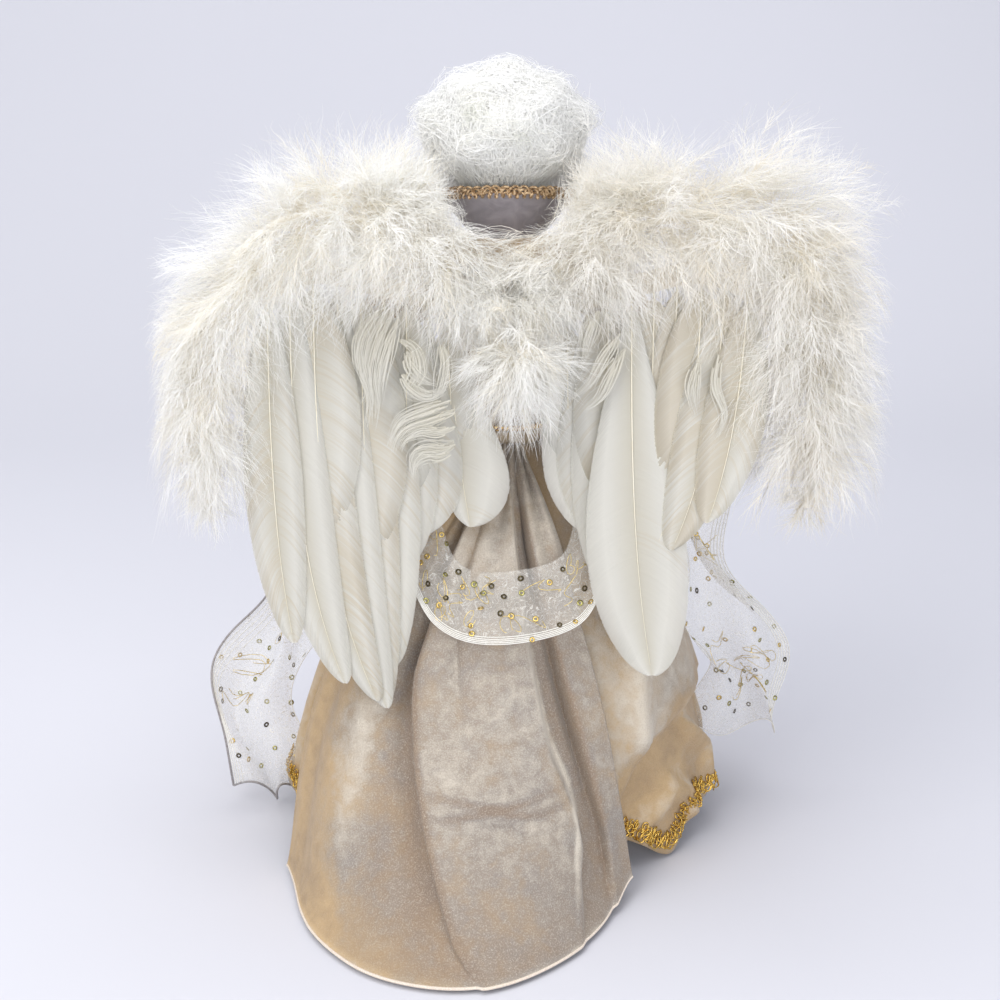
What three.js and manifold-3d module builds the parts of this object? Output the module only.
// Angel tree topper: a gowned figure on a hollow card cone, with feathered wings on wire stems.
// Millimetres and degrees, +Z up. The figure faces -Y, and left and right are its own, with left at +X.

import * as THREE from "three";
import { mergeVertices } from "three/addons/utils/BufferGeometryUtils.js";
import Module from "manifold-3d";

const wasm = await Module();
wasm.setup();

const { abs, cos, floor, max, min, PI, round, sin, sqrt } = Math;
const { clamp, degToRad, lerp, smoothstep } = THREE.MathUtils;
const vec = (x, y, z) => new THREE.Vector3(x, y, z);

// Clearance between pieces that touch
const GAP = 0.3;

// Card cone that slips over the tip of the tree
const CONE_HEIGHT = 190;
const CONE_MOUTH_RADIUS = 66;
const CONE_TOP_RADIUS = 15;
const CONE_SIDES = 28;
const CARD_WALL = 1.6;

// Body core and shoulder plate: heights of ribs and chest are shares of the torso's height
const BODY_DEPTH = 0.8;
const BODY_SIDES = 20;
const TORSO_HEIGHT = 76;
const WAIST_RADIUS = 15.5;
const RIBS_AT = 0.22;
const RIBS_SWELL = 0.3;
const CHEST_RADIUS = 23.5;
const CHEST_AT = 0.72;
const SHOULDER_RADIUS = 20;
const PLATE_HEIGHT = 18;
const PLATE_SLOPE = [0.3, 0.35];
const NECK_RADIUS = 7.2;
const NECK_LENGTH = 11;
const NECK_IN_HEAD = 8;

// Head: skull, jaw and nose as shares of its width, depth and height
const HEAD_WIDTH = 35;
const HEAD_DEPTH = 40;
const HEAD_HEIGHT = 47;
const HEAD_BACK = 2;
const SKULL = [0.5, 0.5, 0.45];
const JAW = [0.36, 0.3, 0.26];
const JAW_FORWARD = 0.16;
const NOSE = [0.07, 0.09, 0.09];
const NOSE_AT = 0.38;

// Hair, with the opening round the face as shares of the head
const HAIR_WIDTH = 68;
const HAIR_DEPTH = 60;
const HAIR_HALF_HEIGHT = 25;
const HAIR_ABOVE_CROWN = 7;
const HAIR_BACK = 3;
const NAPE_WIDTH = 56;
const NAPE_DEPTH = 36;
const NAPE_HEIGHT = 31;
const NAPE_BACK = 10.4;
const NAPE_ABOVE_CHIN = 1.5;
const FACE_WIDTH = 34;
const FACE_OPENING = [0.6, 0.5];
const FACE_FORWARD = 0.25;
const FACE_AT = 0.37;

// Bodice and stand-up collar
const BODICE_WALL = 1.4;
const COLLAR_WALL = 1.2;
const COLLAR_HEIGHT = 24;
const COLLAR_FLARE = 13;
const COLLAR_SWEEP = 150;
const COLLAR_DIP = 0.2;
const COLLAR_SEAT = 0.7;
const COLLAR_PANELS = 14;

// Bell of the gown: the sides fall straight at first and then spread
const SKIRT_DROP = 7;
const SKIRT_HALF_WIDTH = 97;
const SKIRT_HALF_DEPTH = 77;
const SKIRT_SPREAD = 0.75;

// Satin underskirt
const SATIN_WALL = 1.4;
const SATIN_SEAT = 0.4;
const UNDERSKIRT_FOLDS = 12;
const UNDERSKIRT_FOLD_DEPTH = 2;
const UNDERSKIRT_HEM = 0.9;
const UNDERSKIRT_PANELS = 48;

// Velvet overskirt: edges are angles about the axis from +X, its end a share of the bell
const VELVET_WALL = 1.4;
const OVERSKIRT_FOLDS = 12;
const OVERSKIRT_FOLD_DEPTH = 4;
const OVERSKIRT_LEFT_EDGE = -14;
const OVERSKIRT_RIGHT_EDGE = 222;
const OVERSKIRT_END = 0.99;
const OVERSKIRT_PANELS = 42;

// Velvet train: angles of its two sides at the waist, half way and at the hem, and its reach on the table
const TRAIN_LEFT = [72, 25, 39];
const TRAIN_RIGHT = [106, 117, 118];
const TRAIN_SPREAD = [-0.2, 0.7];
const TRAIN_RETURN = [0.55, 1];
const TRAIN_TURN = 4;
const TRAIN_REACH = 58;
const TRAIN_SIDE_REACH = [24, 14];
const TRAIN_ROUNDING = 1.3;
const TRAIN_END = 0.95;
const TRAIN_END_DIP = 0.017;
const TRAIN_EASE = 1.4;
const TRAIN_CURL = 2.4;
const TRAIN_LANDING = 6;
const TRAIN_FLATTEN = 0.8;
const TRAIN_FLATTEN_FROM = 0.74;
const TRAIN_COLUMNS = 30;
const TRAIN_ROWS = 15;

// Panels of the train: each edge is keys of share down and share across, soft the edges' widths, rise how far
// the panel stands out, and start the share down where it begins
const TRAIN_PANEL_START = 0.15;
const TRAIN_PANEL_RISE = 8;
const TRAIN_PANELS = [
  { left: [[0, -0.2], [1, -0.2]], right: [[0, 0.1], [1, 0.07]], soft: [0.05, 0.1], rise: 4.5, start: 0.35 },
  {
    left: [[0, 0.12], [1, 0.15]],
    right: [[0, 0.24], [0.55, 0.3], [0.68, 0.34], [0.85, 0.3], [1, 0.26]],
    soft: [0.16, 0.12], rise: 6, start: 0.3,
  },
  {
    left: [[0, 0.36], [0.4, 0.37], [0.53, 0.4], [0.61, 0.455], [0.77, 0.51], [1, 0.6]],
    right: [[0, 0.62], [0.4, 0.75], [0.65, 0.81], [0.73, 0.85], [0.83, 0.83], [1, 0.78]],
    soft: [0.06, 0.06], rise: TRAIN_PANEL_RISE, start: 0.24,
  },
  {
    left: [[0, 0.72], [0.5, 0.87], [0.8, 0.93], [1, 0.9]],
    right: [[0, 1.4], [1, 1.4]],
    soft: [0.06, 0.1], rise: 7, start: 0.2,
  },
];

// Gold braids and the waist cord: the inset is an angle, and places on the edge are shares of the bell
const COLLAR_BRAID_RADIUS = 1.6;
const SKIRT_BRAID_RADIUS = 1.9;
const CUFF_BRAID_RADIUS = 1.4;
const WAIST_CORD_RADIUS = 1.5;
const BRAID_INSET = 2;
const BRAID_ABOVE_HEM = 0.005;
const BRAID_EDGE_PLACES = [0.12, 0.3, 0.5, 0.7, 0.86];

// Arms: one wire runs from hand to hand through the body
const ARM_WIRE_RADIUS = 1;
const WIRE_IN_HAND = 6;
const ARM_ROOT_OUT = 2;
const ARM_ROOT_DROP = 6;
const ARM_STEPS = 8;
const UPPER_ARM = vec(37, -10, -34);
const FOREARM = vec(30, -30, -10);
const SLEEVE_SHOULDER_RADIUS = 12;
const SLEEVE_ELBOW_RADIUS = 11;
const SLEEVE_WRIST_RADIUS = 8;
const CUFF_FROM_WRIST = 4;

// Open hand: outline points and finger ends as shares of its length and half width
const HAND_LENGTH = 21;
const HAND_HALF_WIDTH = 4.62;
const HAND_THICKNESS = 4.4;
const HAND_BEVEL = 0.6;
const HAND_BEVEL_INSET = 0.4;
const HAND_CUP = 3;
const HEEL = [[0, -0.75], [0.24, -1.05]];
const THUMB = [[0.48, -1.75], [0.56, -1.5], [0.42, -0.95]];
const PALM_EDGE = [[0.25, 0.95], [0, 0.75]];
const FINGER_ROOT = 0.55;
const FINGER_ENDS = [0.9, 1, 0.96, 0.82];
const FINGER_GAP = 0.4;
const FINGER_ROUNDING = 0.4;
const FINGER_THINNING = 0.6;

// Sheer stole behind the back and over both forearms: places, and widths as shares of its width
const STOLE_WALL = 0.9;
const STOLE_WIDTH = 40;
const STOLE_PLEATS = 2;
const STOLE_PLEAT_DEPTH = 0.9;
const STOLE_EASE = 3;
const SWAG_ON_TRAIN = [[0.69, 0.43], [0.36, 0.41]];
const SWAG_WIDTHS = [[0, -0.5, 0.56], [-0.19, -0.37, 0.58]];
const STOLE_SIDE = [[-16, 50, -36], [-9, 27, -11], [-8, 4, 9]];
const STOLE_SIDE_WIDTHS = [[-0.4, 0.1, 0.5], [-0.17, 0.25, 0.44], [0.04, 0.3, 0.36]];
const STOLE_ON_ARM = 0.77;
const STOLE_ACROSS_ARM = 0.6;
const STOLE_WRAP = [200, 145, 90, 35, -20];
const LEFT_TAIL = [[-4, 4, -22], [-3, 6, -62], [8, 8, -106], [28, 9, -142], [40, 10, -172], [38, 14, -209]];
const RIGHT_TAIL = [[-4, 4, -22], [-4, 6, -60], [6, 8, -98], [24, 9, -132], [36, 10, -160], [34, 12, -190]];
const TAIL_WIDTH = [-0.78, 0.5];
const TAIL_TURN = 0.07;

// Bridge on the back, and the wings' wire frames: each stem is upright and then bends outwards
const BRIDGE_WIDTH = 32;
const BRIDGE_HEIGHT = 42;
const BRIDGE_WALL = 2.4;
const BRIDGE_DROP = 16.8;
const LUG_WALL = 1.8;
const LUG_HEIGHT = 5;
const LUG_INSET = 2;
const STEM_X = 9;
const STEM_Y = 40;
const STEM_LENGTH = 20;
const STEM_KEYS = [0, 10, 15, 18];
const STEM_BEND = [3, 2];
const WING_WIRE_RADIUS = 1.2;
const WING_LEAN = 0.2;
const WIRE_ON_BOA = [0.02, 0.1, 0.2, 0.32, 0.44, 0.56, 0.68, 0.8, 0.9];

// Marabou: boas along the wings, as X and rise over the shoulder, and the puff over their joint
const BOA_ROUTE = [[19, 2], [40, 15], [78, 25], [108, 11], [122, -25], [127, -65], [125, -97]];
const BOA_RADIUS = 18;
const BOA_INNER_RADIUS = 11;
const BOA_TIP_RADIUS = 14;
const BOA_FULL_AT = 0.25;
const BOA_TAPER = [0.75, 0.9];
const BOA_BLUNT_END = 0.45;
const BOA_CREST_FADE = [0.45, 0.7];
const BOA_CREST_FROM = -0.1;
const LEFT_CREST = 0.6;
const RIGHT_CREST = 0.85;
const PUFF_WIDTH = 44;
const PUFF_HEIGHT = 52;
const PUFF_DEPTH = 20;
const PUFF_ROUNDING = [[0.36, 0], [0.5, 0.35], [0.4, 0.75], [0.2, 0.97]];
const PUFF_STANDOFF = 61;
const PUFF_STEM_RADIUS = 3.5;
const PUFF_DROP = 26;

// Goose feathers on a tape under each boa: long flights, and coverts over some of them
const TAPE_WALL = 1.2;
const TAPE_HEIGHT = 9;
const TAPE_ON_BOA = [0.02, 0.41];
const TAPE_MARGIN = 0.03;
const TAPE_PANELS = 14;
const QUILL_THICKNESS = 1;
const QUILL_HALF_WIDTH = 0.8;
const QUILL_INSET = 1;
const QUILL_BELOW_TAPE = 2;
const VANE_EDGE = 0.6;
const VANE_SWELL = [0.75, 0.65];
const VANE_BEND = 0.6;
const FEATHER_PITCH = 1.4;
const FLIGHT_HALF_WIDTH = 12;
const FLIGHT_TILTS = [2, 0, -1, -2, -3, -4, -6, -8, -11];
const LEFT_FLIGHTS = [88, 96, 112, 164, 180, 182, 172, 152, 118];
const RIGHT_FLIGHTS = [88, 96, 126, 156, 166, 160, 136, 118, 98];
const COVERT_HALF_WIDTH = 11;
const COVERT_LENGTHS = [74, 92, 98, 86];
const COVERTS_OVER_FLIGHTS = [0, 2, 4, 6];
const COVERT_LAYER = 3;

// Heights that follow from the sizes above
const waistZ = CONE_HEIGHT + GAP;
const shoulderZ = waistZ + TORSO_HEIGHT;
const plateZ = shoulderZ + GAP;
const neckZ = plateZ + PLATE_HEIGHT;
const chinZ = neckZ + NECK_LENGTH;
const crownZ = chinZ + HEAD_HEIGHT;
const skirtTopZ = CONE_HEIGHT - SKIRT_DROP;

// Closed geometry to a solid that can be joined and cut, and back
function solid(geometry) {
  const bare = geometry.clone();
  bare.deleteAttribute("normal");
  bare.deleteAttribute("uv");
  const merged = mergeVertices(bare, 1e-4);
  const vertProperties = merged.attributes.position.array;
  const triVerts = new Uint32Array(merged.index.array);
  return new wasm.Manifold(new wasm.Mesh({ numProp: 3, vertProperties, triVerts }));
}

function geometryOf(body) {
  const mesh = body.getMesh();
  const geometry = new THREE.BufferGeometry();
  geometry.setAttribute("position", new THREE.BufferAttribute(mesh.vertProperties, 3));
  geometry.setIndex(new THREE.BufferAttribute(mesh.triVerts, 1));
  geometry.computeVertexNormals();
  return geometry;
}

// Each vertex of a geometry moved to place(x, y, z, index)
function moved(geometry, place) {
  const at = geometry.attributes.position;
  for (let i = 0; i < at.count; i++) {
    const p = place(at.getX(i), at.getY(i), at.getZ(i), i);
    at.setXYZ(i, p.x, p.y, p.z);
  }
  geometry.computeVertexNormals();
  return geometry;
}

// Unit normal of surface(u, v), from close points on either side
function normalAt(surface, u, v) {
  const step = 1e-3;
  const across = surface(min(u + step, 1), v).sub(surface(max(u - step, 0), v));
  const down = surface(u, min(v + step, 1)).sub(surface(u, max(v - step, 0)));
  return across.cross(down).normalize();
}

// Sheet of cloth or vane: a flat box bent so that its middle lies on surface(u, v)
function sheet(columns, rows, surface, wallAt) {
  const box = new THREE.BoxGeometry(1, 1, 1, columns, rows, 1);
  return moved(box, (x, y, side) => {
    const u = x + 0.5;
    const v = y + 0.5;
    return surface(u, v).addScaledVector(normalAt(surface, u, v), side * wallAt(u, v));
  });
}

// Closed round of cloth: a turned shell whose two faces lie either side of surface(u, v)
function roundSheet(segments, rows, surface, wall) {
  const outer = Array.from({ length: rows + 1 }, (_, j) => [j / rows, 1]);
  const inner = outer.map(([v]) => [v, -1]).reverse();
  const loop = [...outer, ...inner, outer[0]];
  const outline = loop.map(([v, side]) => new THREE.Vector2(3 + side, -v));
  const shell = new THREE.LatheGeometry(outline, segments);
  return moved(shell, (x, y, z, index) => {
    const u = floor(index / loop.length) / segments;
    const [v, side] = loop[index % loop.length];
    const normal = normalAt((a, b) => surface(lerp(-1, 2, a), b), (u + 1) / 3, v);
    return surface(u, v).addScaledVector(normal, side * wall / 2);
  });
}

// Rod or padded tube along a curve, with its radius given along the way and swelling by direction
function sweep(curve, radiusAt, sides, steps, swell = () => 1) {
  const frames = curve.computeFrenetFrames(steps, false);
  const rod = new THREE.CylinderGeometry(1, 1, 1, sides, steps);
  return moved(rod, (x, y, z) => {
    const step = round((0.5 - y) * steps);
    const out = frames.normals[step].clone().multiplyScalar(x).addScaledVector(frames.binormals[step], z);
    const radius = radiusAt(step / steps) * swell(out, step / steps);
    return curve.getPointAt(step / steps).addScaledVector(out, radius);
  });
}

// Curve that is sampled key by key, so that its steps fall on the points it is given
class KeyedCurve extends THREE.CatmullRomCurve3 {
  getUtoTmapping(u) {
    return u;
  }
}

function wire(points, radius, stepsPerKey) {
  return sweep(new KeyedCurve(points), () => radius, 6, stepsPerKey * (points.length - 1));
}

// Turned form about the Z axis from a profile of radius and height
function turned(profile, segments, depth = 1) {
  return new THREE.LatheGeometry(profile, segments).rotateX(PI / 2).scale(1, depth, 1);
}

const profile = (points) => points.map(([radius, z]) => new THREE.Vector2(radius, z));
const smooth = (points, count) => new THREE.SplineCurve(profile(points)).getPoints(count);

// Profile moved outwards by a distance, square to its own line
function offset(points, distance) {
  return points.map((p, i) => {
    const before = points[max(i - 1, 0)];
    const after = points[min(i + 1, points.length - 1)];
    const along = after.clone().sub(before).normalize();
    return new THREE.Vector2(p.x + along.y * distance, p.y - along.x * distance);
  });
}

function ellipsoid(centre, radii, segments = 14) {
  const ball = new THREE.SphereGeometry(1, segments, round(segments * 0.6)).rotateX(PI / 2);
  return ball.scale(radii.x, radii.y, radii.z).translate(centre.x, centre.y, centre.z);
}

// Finishes
const finish = (color, roughness, metalness = 0) => ({ color, roughness, metalness });
const CARD = finish(0xd8cbb2, 0.9);
const CORE = finish(0xe9e5dc, 0.95);
const PORCELAIN = finish(0xf0d6c6, 0.35);
const HAIR = finish(0xf1efe6, 0.85);
const VELVET = finish(0xd9c3aa, 0.9);
const SATIN = finish(0xf4f0ea, 0.45);
const LILAC_SATIN = finish(0xc9c4c8, 0.5);
const GOLD = finish(0xb8862f, 0.4, 0.6);
const ORGANZA = finish(0xe8e2d4, 0.6);
const STEEL = finish(0x9a9a98, 0.4, 0.8);
const MARABOU = finish(0xf2eee4, 0.95);
const GOOSE = finish(0xeeeae0, 0.7);
const TAPE = finish(0xe6ddca, 0.9);

function piece(name, geometry, look) {
  const mesh = new THREE.Mesh(geometry, new THREE.MeshStandardMaterial(look));
  mesh.name = name;
  return mesh;
}

const topper = new THREE.Group();
const figure = new THREE.Group();
topper.add(figure);

// Card cone, closed at the top and open at the mouth
const coneRadius = (z) => lerp(CONE_MOUTH_RADIUS, CONE_TOP_RADIUS, z / CONE_HEIGHT);
const coneProfile = profile([
  [0, CONE_HEIGHT - CARD_WALL],
  [CONE_TOP_RADIUS - CARD_WALL, CONE_HEIGHT - CARD_WALL],
  [CONE_MOUTH_RADIUS - CARD_WALL, 0],
  [CONE_MOUTH_RADIUS, 0],
  [CONE_TOP_RADIUS, CONE_HEIGHT],
  [0, CONE_HEIGHT],
]);
figure.add(piece("base_cone", turned(coneProfile, CONE_SIDES), CARD));

// Torso, shoulder plate and bodice share one side line
const torsoSide = smooth([
  [WAIST_RADIUS, waistZ],
  [lerp(WAIST_RADIUS, CHEST_RADIUS, RIBS_SWELL), waistZ + TORSO_HEIGHT * RIBS_AT],
  [CHEST_RADIUS, waistZ + TORSO_HEIGHT * CHEST_AT],
  [SHOULDER_RADIUS, shoulderZ],
], 6);
const plateSide = smooth([
  [SHOULDER_RADIUS, plateZ],
  [lerp(SHOULDER_RADIUS, NECK_RADIUS, PLATE_SLOPE[0]), plateZ + PLATE_HEIGHT * PLATE_SLOPE[1]],
  [NECK_RADIUS, neckZ],
], 5);
const bodiceSide = [...torsoSide, ...plateSide.slice(1, 4)];
const bodiceLift = GAP + BODICE_WALL;
const bodiceOuter = offset(bodiceSide, bodiceLift);
const axisPoint = (z) => new THREE.Vector2(0, z);

// Line of the arm wire, from the left hand through the body to the right hand
const shoulder = vec(CHEST_RADIUS + bodiceLift + ARM_ROOT_OUT, 0, shoulderZ - ARM_ROOT_DROP);
const elbow = shoulder.clone().add(UPPER_ARM);
const wrist = elbow.clone().add(FOREARM);
const forearmWay = FOREARM.clone().normalize();
const armCurve = new THREE.CatmullRomCurve3([
  shoulder,
  shoulder.clone().lerp(elbow, 0.5),
  elbow,
  elbow.clone().lerp(wrist, 0.5),
  wrist,
]);
const wristWay = armCurve.getTangentAt(1);
const mirrored = (p) => vec(-p.x, p.y, p.z);

function armLine(beyondWrist) {
  const end = wrist.clone().addScaledVector(wristWay, beyondWrist);
  const half = [...armCurve.getSpacedPoints(ARM_STEPS), end];
  return [...half.map(mirrored).reverse(), vec(0, 0, shoulder.z), ...half];
}

const armBore = solid(wire(armLine(WIRE_IN_HAND + GAP), ARM_WIRE_RADIUS + GAP, 2));
figure.add(piece("arm_wire", wire(armLine(WIRE_IN_HAND), ARM_WIRE_RADIUS, 2), STEEL));

const torsoProfile = [axisPoint(waistZ), ...torsoSide, axisPoint(shoulderZ)];
const torso = solid(turned(torsoProfile, BODY_SIDES, BODY_DEPTH)).subtract(armBore);
figure.add(piece("torso", geometryOf(torso), CORE));

const bodiceInner = offset(bodiceSide, GAP).reverse();
const bodiceShell = [...bodiceOuter, ...bodiceInner, bodiceOuter[0]];
const bodice = solid(turned(bodiceShell, BODY_SIDES, BODY_DEPTH)).subtract(armBore);
figure.add(piece("bodice", geometryOf(bodice), VELVET));

// Head and neck in one with the shoulder plate
const ofHead = ([x, y, z]) => vec(HEAD_WIDTH * x, HEAD_DEPTH * y, HEAD_HEIGHT * z);
const skullHalf = ofHead(SKULL);
const skullCentre = vec(0, HEAD_BACK, crownZ - skullHalf.z);
const jawHalf = ofHead(JAW);
const jawCentre = vec(0, -HEAD_DEPTH * JAW_FORWARD, chinZ + jawHalf.z);
const noseCentre = vec(0, skullCentre.y - skullHalf.y, chinZ + HEAD_HEIGHT * NOSE_AT);
const grown = (half, by) => half.clone().addScalar(by);
const neckTop = chinZ + NECK_IN_HEAD;
const plateProfile = [
  axisPoint(plateZ),
  ...plateSide,
  new THREE.Vector2(NECK_RADIUS, neckTop),
  axisPoint(neckTop),
];
const head = solid(turned(plateProfile, BODY_SIDES, BODY_DEPTH))
  .add(solid(ellipsoid(skullCentre, skullHalf, 18)))
  .add(solid(ellipsoid(jawCentre, jawHalf)))
  .add(solid(ellipsoid(noseCentre, ofHead(NOSE), 8)));
figure.add(piece("shoulder_head", geometryOf(head), PORCELAIN));

// Hair: a puffed crown and a fuller nape, hollowed over the head and open round the face
const hairHalf = vec(HAIR_WIDTH / 2, HAIR_DEPTH / 2, HAIR_HALF_HEIGHT);
const hairCentre = vec(0, skullCentre.y + HAIR_BACK, crownZ + HAIR_ABOVE_CROWN - hairHalf.z);
const napeHalf = vec(NAPE_WIDTH / 2, NAPE_DEPTH / 2, NAPE_HEIGHT / 2);
const napeCentre = vec(0, skullCentre.y + NAPE_BACK, chinZ + NAPE_ABOVE_CHIN + napeHalf.z);
const faceHalf = vec(FACE_WIDTH / 2, HEAD_DEPTH * FACE_OPENING[0], HEAD_HEIGHT * FACE_OPENING[1]);
const faceY = skullCentre.y - skullHalf.y - HEAD_DEPTH * FACE_FORWARD;
const faceCentre = vec(0, faceY, chinZ + HEAD_HEIGHT * FACE_AT);
const neckSpace = NECK_RADIUS + GAP;
const neckCut = profile([[0, neckZ], [neckSpace, neckZ], [neckSpace, crownZ], [0, crownZ]]);
const wig = solid(ellipsoid(hairCentre, hairHalf, 18))
  .add(solid(ellipsoid(napeCentre, napeHalf)))
  .subtract(solid(ellipsoid(skullCentre, grown(skullHalf, GAP), 18)))
  .subtract(solid(ellipsoid(jawCentre, grown(jawHalf, GAP))))
  .subtract(solid(ellipsoid(faceCentre, faceHalf)))
  .subtract(solid(turned(neckCut, 12)));
figure.add(piece("wig", geometryOf(wig), HAIR));

// Stand-up collar behind the neck, with braid along its top
const collarSeat = bodiceOuter[bodiceOuter.length - 2];
const collarFoot = collarSeat.x + GAP + COLLAR_WALL * COLLAR_SEAT;
function collarSurface(u, v) {
  const angle = degToRad(lerp(-0.5, 0.5, u) * COLLAR_SWEEP);
  const flare = COLLAR_FLARE * v;
  const dip = COLLAR_DIP * (2 * u - 1) ** 2;
  const x = (collarFoot + flare) * sin(angle);
  const y = (collarFoot * BODY_DEPTH + GAP + flare) * cos(angle);
  return vec(x, y, collarSeat.y + COLLAR_HEIGHT * v * (1 - dip));
}
const collar = sheet(COLLAR_PANELS, 2, (u, v) => collarSurface(1 - u, v), () => COLLAR_WALL);
figure.add(piece("collar", collar, LILAC_SATIN));

const collarEdge = Array.from({ length: COLLAR_PANELS + 1 }, (_, i) => collarSurface(i / COLLAR_PANELS, 1));
collarEdge.forEach((p) => p.setZ(p.z + COLLAR_BRAID_RADIUS + GAP));
figure.add(piece("collar_braid", wire(collarEdge, COLLAR_BRAID_RADIUS, 1), GOLD));

// Bell of the gown: angle about the axis from +X, share v from waist to hem, and lift off the bell
const skirtWaist = coneRadius(skirtTopZ) + GAP + SATIN_WALL * SATIN_SEAT;
function bell(angle, v) {
  const x = lerp(skirtWaist, SKIRT_HALF_WIDTH, v) * cos(angle);
  const y = lerp(skirtWaist, SKIRT_HALF_DEPTH, v) * sin(angle);
  const fall = lerp(v, v * v, SKIRT_SPREAD);
  return vec(x, y, lerp(skirtTopZ, UNDERSKIRT_HEM, fall));
}

function lifted(angle, v, lift) {
  const near = 0.1;
  const surface = (a, b) => bell(angle + (a - 0.5) * near, b);
  return bell(angle, v).addScaledVector(normalAt(surface, 0.5, v), -lift);
}

// Satin underskirt, pleated all round
const underskirtFold = (angle, v) => UNDERSKIRT_FOLD_DEPTH * v * cos(UNDERSKIRT_FOLDS * angle);
const underskirtSurface = (u, v) => lifted(-2 * PI * u, v, underskirtFold(2 * PI * u, v));
const underskirt = roundSheet(UNDERSKIRT_PANELS, 5, underskirtSurface, SATIN_WALL);
figure.add(piece("underskirt", underskirt, SATIN));

// Velvet overskirt, open at the front, with braid along its edges and hem
const overskirtLift = (SATIN_WALL + VELVET_WALL) / 2 + GAP;
const ridge = (turns) => 0.5 + 0.5 * cos(2 * PI * turns);
function overskirtAt(degrees, v, proud = 0) {
  const pleat = OVERSKIRT_FOLD_DEPTH * v * ridge(OVERSKIRT_FOLDS * degrees / 360);
  return lifted(degToRad(degrees), v, UNDERSKIRT_FOLD_DEPTH * v + overskirtLift + pleat + proud);
}

function overskirtSurface(u, v) {
  return overskirtAt(lerp(OVERSKIRT_RIGHT_EDGE, OVERSKIRT_LEFT_EDGE, u), v * OVERSKIRT_END);
}
figure.add(piece("overskirt", sheet(OVERSKIRT_PANELS, 5, overskirtSurface, () => VELVET_WALL), VELVET));

const braidProud = VELVET_WALL / 2 + 2 * GAP + SKIRT_BRAID_RADIUS;
const braidFrom = OVERSKIRT_LEFT_EDGE + BRAID_INSET;
const braidTo = OVERSKIRT_RIGHT_EDGE - BRAID_INSET;
const edgeBraid = (degrees) => BRAID_EDGE_PLACES.map((v) => overskirtAt(degrees, v, braidProud));
const hemBraid = Array.from({ length: OVERSKIRT_PANELS + 1 }, (_, i) => {
  const along = lerp(braidFrom, braidTo, i / OVERSKIRT_PANELS);
  return overskirtAt(along, OVERSKIRT_END - BRAID_ABOVE_HEM, braidProud);
});
const braidLine = [...edgeBraid(braidFrom), ...hemBraid, ...edgeBraid(braidTo).reverse()];
figure.add(piece("skirt_braid", wire(braidLine, SKIRT_BRAID_RADIUS, 1), GOLD));

// Velvet train: gathered at the back of the waist, it spreads over the overskirt and on to the table
const trainLift = overskirtLift + VELVET_WALL + GAP;
const trainOnTable = VELVET_WALL / 2 + GAP;
function keyed(keys, v) {
  const next = keys.findIndex(([down], i) => i > 0 && v <= down);
  const i = next < 0 ? keys.length - 1 : next;
  const [[fromDown, from], [toDown, to]] = [keys[i - 1], keys[i]];
  return lerp(from, to, (v - fromDown) / (toDown - fromDown));
}

function panelHeight({ left, right, soft, rise, start }, u, v) {
  const climb = smoothstep((u - keyed(left, v)) / soft[0], -0.5, 0.5);
  const drop = smoothstep((keyed(right, v) - u) / soft[1], -0.5, 0.5);
  return rise * climb * drop * smoothstep(v, start - TRAIN_PANEL_START, start + TRAIN_PANEL_START);
}

const threeWay = ([a, b, c], early, late) => lerp(lerp(a, b, early), c, late);
function trainSurface(u, down) {
  const v = down * (TRAIN_END + TRAIN_END_DIP * sin(PI * u));
  const spread = [smoothstep(v, ...TRAIN_SPREAD), smoothstep(v, ...TRAIN_RETURN)];
  const degrees = lerp(threeWay(TRAIN_LEFT, ...spread), threeWay(TRAIN_RIGHT, ...spread), u);
  const fall = 1 - (1 - v) ** TRAIN_ROUNDING;
  const panels = TRAIN_PANELS.reduce((sum, panel) => sum + panelHeight(panel, u, v), 0);
  const fold = panels * (1 - TRAIN_FLATTEN * smoothstep(v, TRAIN_FLATTEN_FROM, 1));
  const overFolds = (UNDERSKIRT_FOLD_DEPTH + OVERSKIRT_FOLD_DEPTH) * fall;
  const p = lifted(degToRad(degrees), fall, trainLift + TRAIN_EASE * v + overFolds + fold);
  const middle = TRAIN_REACH * sin(PI * u) ** TRAIN_ROUNDING;
  const reach = (lerp(...TRAIN_SIDE_REACH, u) + middle) * v ** TRAIN_CURL;
  const way = degToRad(degrees + TRAIN_TURN);
  const z = lerp(p.z, trainOnTable, v ** TRAIN_LANDING);
  return vec(p.x + reach * cos(way), p.y + reach * sin(way), z);
}
const train = sheet(TRAIN_COLUMNS, TRAIN_ROWS, (u, v) => trainSurface(1 - u, v), () => VELVET_WALL);
figure.add(piece("train", train, VELVET));

// Cord round the waist, on the bodice's lower edge
const bodiceFoot = bodiceOuter[0];
const waistCordLine = bodiceFoot.x + GAP + WAIST_CORD_RADIUS;
const waistCord = new THREE.TorusGeometry(waistCordLine, WAIST_CORD_RADIUS, 5, 24).scale(1, BODY_DEPTH, 1);
waistCord.translate(0, 0, bodiceFoot.y + WAIST_CORD_RADIUS);
figure.add(piece("waist_cord", waistCord, GOLD));

// Arms: sleeve, hand and cuff braid, made for the left and mirrored for the right
const bodiceTop = bodiceOuter[bodiceOuter.length - 1];
const bodiceSpace = offset(bodiceSide, bodiceLift + GAP);
const bodiceFill = [axisPoint(bodiceFoot.y), ...bodiceSpace, axisPoint(bodiceTop.y)];
const bodiceFilled = solid(turned(bodiceFill, BODY_SIDES, BODY_DEPTH));

function sleeveRadius(t) {
  const upper = lerp(SLEEVE_SHOULDER_RADIUS, SLEEVE_ELBOW_RADIUS, min(1, t * 2));
  return lerp(upper, SLEEVE_WRIST_RADIUS, smoothstep(t, 0.6, 1));
}

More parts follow.
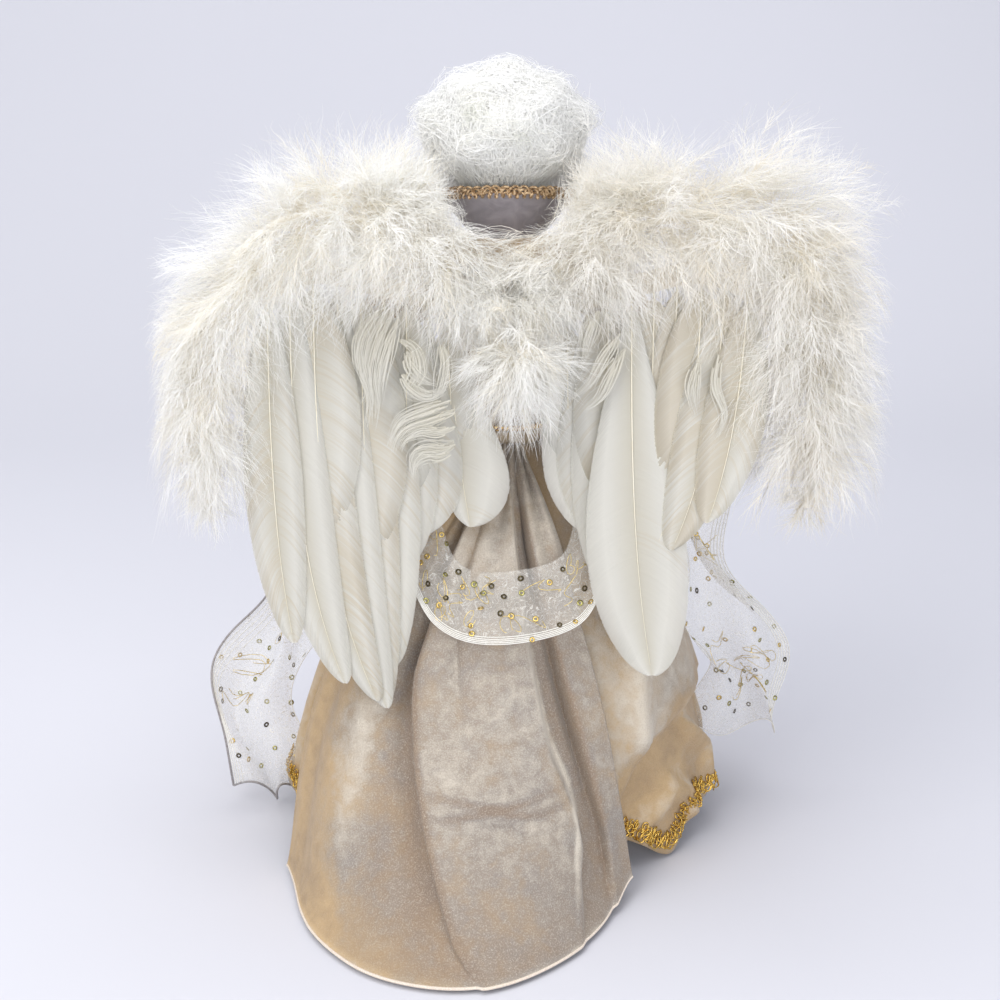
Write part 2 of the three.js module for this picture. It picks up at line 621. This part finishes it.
// Open hand: four fingers and a thumb in outline, a little cupped
function handGeometry() {
  const at = ([along, across]) => new THREE.Vector2(HAND_LENGTH * along, HAND_HALF_WIDTH * across);
  const finger = 2 * HAND_HALF_WIDTH / FINGER_ENDS.length;
  const root = HAND_LENGTH * FINGER_ROOT;
  const fingers = FINGER_ENDS.flatMap((share, i) => {
    const low = -HAND_HALF_WIDTH + i * finger + FINGER_GAP / 2;
    const high = low + finger - FINGER_GAP;
    const tip = HAND_LENGTH * share;
    const pad = tip - finger * FINGER_ROUNDING;
    const outline = [[root, low], [pad, low], [tip, (low + high) / 2], [pad, high], [root, high]];
    return profile(outline);
  });
  const shape = new THREE.Shape([...HEEL.map(at), ...THUMB.map(at), ...fingers, ...PALM_EDGE.map(at)]);
  const plain = new THREE.ExtrudeGeometry(shape, {
    depth: HAND_THICKNESS - 2 * HAND_BEVEL,
    bevelThickness: HAND_BEVEL,
    bevelSize: HAND_BEVEL_INSET,
    bevelOffset: -HAND_BEVEL_INSET,
    bevelSegments: 1,
  });
  plain.translate(0, 0, HAND_BEVEL - HAND_THICKNESS / 2);
  return moved(plain, (x, y, z) => {
    const out = smoothstep(x / HAND_LENGTH, 0.3, 1);
    return vec(x, y, z * lerp(1, FINGER_THINNING, out) + HAND_CUP * out);
  });
}

function turnedTo(way, place) {
  const across = vec(0, 0, 1).cross(way).normalize();
  const upward = way.clone().cross(across);
  return new THREE.Matrix4().makeBasis(way, across, upward).setPosition(place);
}

function arm(side) {
  const group = new THREE.Group();
  const sleeve = solid(sweep(armCurve, sleeveRadius, 10, 10)).subtract(bodiceFilled).subtract(armBore);
  group.add(piece(`${side}_sleeve`, geometryOf(sleeve), VELVET));

  const handPlace = wrist.clone().addScaledVector(wristWay, GAP);
  const hand = solid(handGeometry().applyMatrix4(turnedTo(wristWay, handPlace))).subtract(armBore);
  group.add(piece(`${side}_hand`, geometryOf(hand), PORCELAIN));

  const cuffAt = 1 - CUFF_FROM_WRIST / armCurve.getLength();
  const cuffLine = sleeveRadius(cuffAt) + GAP + CUFF_BRAID_RADIUS;
  const cuff = new THREE.TorusGeometry(cuffLine, CUFF_BRAID_RADIUS, 5, 18).rotateY(PI / 2);
  cuff.applyMatrix4(turnedTo(armCurve.getTangentAt(cuffAt), armCurve.getPointAt(cuffAt)));
  group.add(piece(`${side}_cuff_braid`, cuff, GOLD));
  group.scale.x = side === "left" ? 1 : -1;
  return group;
}
figure.add(arm("left"), arm("right"));

// Sheer stole: keys of place and width from the middle of the back out to one tail's end
const wrapAt = armCurve.getPointAt(STOLE_ON_ARM);
const wrapRadius = SLEEVE_ELBOW_RADIUS + 3 * GAP + STOLE_WALL / 2 + STOLE_PLEAT_DEPTH;
const wrapUp = vec(0, 0, 1).addScaledVector(forearmWay, -forearmWay.z).normalize();
const wrapOut = wrapUp.clone().cross(forearmWay);
function wrap(degrees) {
  const angle = degToRad(degrees);
  const p = wrapAt.clone().addScaledVector(wrapOut, wrapRadius * cos(angle));
  return p.addScaledVector(wrapUp, wrapRadius * sin(angle));
}

const swagProud = (VELVET_WALL + STOLE_WALL) / 2 + GAP + STOLE_PLEAT_DEPTH + STOLE_EASE + TRAIN_PANEL_RISE;
const swagPoint = (u, v) => trainSurface(u, v).addScaledVector(normalAt(trainSurface, u, v), -swagProud);
const sidePoint = ([x, y, z]) => vec(elbow.x + x, y, skirtTopZ + z);
const stoleWide = ([x, y, z]) => vec(x, y, z).multiplyScalar(STOLE_WIDTH);
const acrossArm = forearmWay.clone().multiplyScalar(-STOLE_WIDTH * STOLE_ACROSS_ARM);

function stoleSide(tail) {
  const end = wrap(STOLE_WRAP[STOLE_WRAP.length - 1]);
  const tailWidth = (i) => stoleWide([TAIL_WIDTH[0], TAIL_WIDTH[1] - TAIL_TURN * i, 0]);
  return [
    ...SWAG_ON_TRAIN.map(([u, v], i) => [swagPoint(u, v), stoleWide(SWAG_WIDTHS[i])]),
    ...STOLE_SIDE.map((place, i) => [sidePoint(place), stoleWide(STOLE_SIDE_WIDTHS[i])]),
    ...STOLE_WRAP.map((degrees) => [wrap(degrees), acrossArm]),
    ...tail.map((step, i) => [end.clone().add(vec(...step)), tailWidth(i)]),
  ];
}

const mirrorKey = ([p, w]) => [mirrored(p), mirrored(w)];
const stoleKeys = [...stoleSide(LEFT_TAIL).reverse(), ...stoleSide(RIGHT_TAIL).slice(1).map(mirrorKey)];
const stoleLine = new THREE.CatmullRomCurve3(stoleKeys.map(([p]) => p));
const stoleWidths = new THREE.CatmullRomCurve3(stoleKeys.map(([, w]) => w));
const stoleFlat = (u, v) => stoleLine.getPoint(v).addScaledVector(stoleWidths.getPoint(v), u - 0.5);
function stoleSurface(u, v) {
  const pleat = STOLE_PLEAT_DEPTH * cos(2 * PI * STOLE_PLEATS * u);
  return stoleFlat(u, v).addScaledVector(normalAt(stoleFlat, u, v), pleat);
}
const stoleRows = 2 * (stoleKeys.length - 1);
figure.add(piece("stole", sheet(2 * STOLE_PLEATS, stoleRows, stoleSurface, () => STOLE_WALL), ORGANZA));

// Bridge on the back of the bodice, with two lugs for each wing's stem
const bridgeY = (CHEST_RADIUS + bodiceLift) * BODY_DEPTH + GAP;
const bridgeBack = bridgeY + BRIDGE_WALL;
const bridgeMiddle = bridgeY + BRIDGE_WALL / 2;
const stemZ = shoulderZ - STEM_LENGTH;
const lugHeights = [stemZ + LUG_INSET, shoulderZ - LUG_INSET - LUG_HEIGHT];

function lug(x, z) {
  const outer = WING_WIRE_RADIUS + GAP + LUG_WALL;
  const shape = new THREE.Shape();
  shape.moveTo(x + outer, bridgeMiddle);
  shape.absarc(x, STEM_Y, outer, 0, PI, false);
  shape.lineTo(x - outer, bridgeMiddle);
  const hole = new THREE.Path();
  hole.absarc(x, STEM_Y, WING_WIRE_RADIUS + GAP, 0, 2 * PI, true);
  shape.holes.push(hole);
  const options = { depth: LUG_HEIGHT, bevelEnabled: false, curveSegments: 5 };
  return solid(new THREE.ExtrudeGeometry(shape, options).translate(0, 0, z));
}

const plate = new THREE.BoxGeometry(BRIDGE_WIDTH, BRIDGE_WALL, BRIDGE_HEIGHT);
plate.translate(0, bridgeMiddle, shoulderZ - BRIDGE_DROP);
let bridge = solid(plate);
for (const z of lugHeights) {
  bridge = bridge.add(lug(STEM_X, z)).add(lug(-STEM_X, z));
}
figure.add(piece("wing_bridge", geometryOf(bridge), CARD));

// Marabou puff over the joint of the wings, on a bundle of quills that sits on the bridge
const puffProfile = profile([
  [0, bridgeBack + GAP],
  [PUFF_STEM_RADIUS, bridgeBack + GAP],
  [PUFF_STEM_RADIUS, PUFF_STANDOFF],
  ...PUFF_ROUNDING.map(([out, back]) => [PUFF_WIDTH * out, PUFF_STANDOFF + PUFF_DEPTH * back]),
  [0, PUFF_STANDOFF + PUFF_DEPTH],
]);
const puff = new THREE.LatheGeometry(puffProfile, 18).scale(1, 1, PUFF_HEIGHT / PUFF_WIDTH);
puff.translate(0, 0, shoulderZ - PUFF_DROP);
figure.add(piece("back_puff", puff, MARABOU));

// Wings, made for the left and mirrored for the right
const wingY = (z) => STEM_Y + WING_LEAN * (shoulderZ - z);
const wingPoint = (x, z) => vec(x, wingY(z), z);
const boaCurve = new THREE.CatmullRomCurve3(BOA_ROUTE.map(([x, rise]) => wingPoint(x, shoulderZ + rise)));
function boaRadius(t) {
  const inner = lerp(BOA_INNER_RADIUS, BOA_RADIUS, smoothstep(t, 0, BOA_FULL_AT));
  const tapered = lerp(inner, BOA_TIP_RADIUS, smoothstep(t, ...BOA_TAPER));
  return tapered * lerp(1, BOA_BLUNT_END, smoothstep(t, BOA_TAPER[1], 1));
}

const stemLine = STEM_KEYS.map((up) => vec(STEM_X, STEM_Y, stemZ + up));
const stemBend = vec(STEM_X + STEM_BEND[0], STEM_Y, shoulderZ + STEM_BEND[1]);
const wingWireLine = [...stemLine, stemBend, ...WIRE_ON_BOA.map((t) => boaCurve.getPointAt(t))];

// Tape under the boa that the quills are fixed to: s runs along it, from the body outwards
const lastFlight = FLIGHT_TILTS.length - 1;
const flightShare = (i) => lerp(TAPE_MARGIN, 1 - TAPE_MARGIN, i / lastFlight);
const layerAt = (s) => FEATHER_PITCH * lastFlight * s;
function tapePoint(s, drop) {
  const t = lerp(...TAPE_ON_BOA, s);
  const centre = boaCurve.getPointAt(t);
  const along = boaCurve.getTangentAt(t);
  const aside = layerAt(s);
  const under = sqrt(boaRadius(t) ** 2 - aside ** 2) / along.x + GAP + drop;
  return wingPoint(centre.x, centre.z - under).add(vec(0, aside, 0));
}

// Feather: narrow quill, broad rounded vane, hung from the tape and leaning with the wing
function feather(s, length, halfWidth, tilt, layer) {
  const root = tapePoint(s, QUILL_INSET);
  const quill = (TAPE_HEIGHT + QUILL_BELOW_TAPE) / length;
  const lean = degToRad(tilt);
  const y = layerAt(s) + (TAPE_WALL + QUILL_THICKNESS) / 2 + GAP + layer * FEATHER_PITCH;
  function surface(u, v) {
    const vane = clamp((v - quill) / (1 - quill), 0, 1);
    const swell = sin(PI * min(1, vane ** VANE_SWELL[0])) ** VANE_SWELL[1];
    const half = max(QUILL_HALF_WIDTH, halfWidth * swell);
    const x = root.x + length * sin(lean) * lerp(v, v * v, VANE_BEND) + half * (2 * u - 1);
    const z = root.z - length * cos(lean) * v;
    return vec(x, wingY(z) + y, z);
  }
  return sheet(2, 8, surface, (u) => lerp(QUILL_THICKNESS, VANE_EDGE, abs(2 * u - 1)));
}

function wing(side, flights, crest) {
  const group = new THREE.Group();
  const swell = (out, t) => 1 + crest * smoothstep(out.z, BOA_CREST_FROM, 1) * (1 - smoothstep(t, ...BOA_CREST_FADE));
  const boaFull = solid(sweep(boaCurve, boaRadius, 10, 16, swell));
  const bore = solid(wire(wingWireLine, WING_WIRE_RADIUS + GAP, 2));
  group.add(piece(`${side}_wing_wire`, wire(wingWireLine, WING_WIRE_RADIUS, 2), STEEL));
  group.add(piece(`${side}_boa`, geometryOf(boaFull.subtract(bore)), MARABOU));
  const tape = sheet(TAPE_PANELS, 1, (u, v) => tapePoint(u, v * TAPE_HEIGHT), () => TAPE_WALL);
  group.add(piece(`${side}_quill_tape`, tape, TAPE));
  flights.forEach((length, i) => {
    const vane = feather(flightShare(i), length, FLIGHT_HALF_WIDTH, FLIGHT_TILTS[i], 0);
    group.add(piece(`${side}_flight_${i + 1}`, vane, GOOSE));
  });
  COVERTS_OVER_FLIGHTS.forEach((flight, i) => {
    const tilt = FLIGHT_TILTS[flight];
    const vane = feather(flightShare(flight), COVERT_LENGTHS[i], COVERT_HALF_WIDTH, tilt, COVERT_LAYER);
    group.add(piece(`${side}_covert_${i + 1}`, vane, GOOSE));
  });
  group.scale.x = side === "left" ? 1 : -1;
  return group;
}
figure.add(wing("left", LEFT_FLIGHTS, LEFT_CREST), wing("right", RIGHT_FLIGHTS, RIGHT_CREST));

// The origin lies on the table in the figure's own middle plane, half way from front to back
const extent = new THREE.Box3().setFromObject(figure, true);
figure.position.y = -extent.getCenter(vec(0, 0, 0)).y;

export default topper;
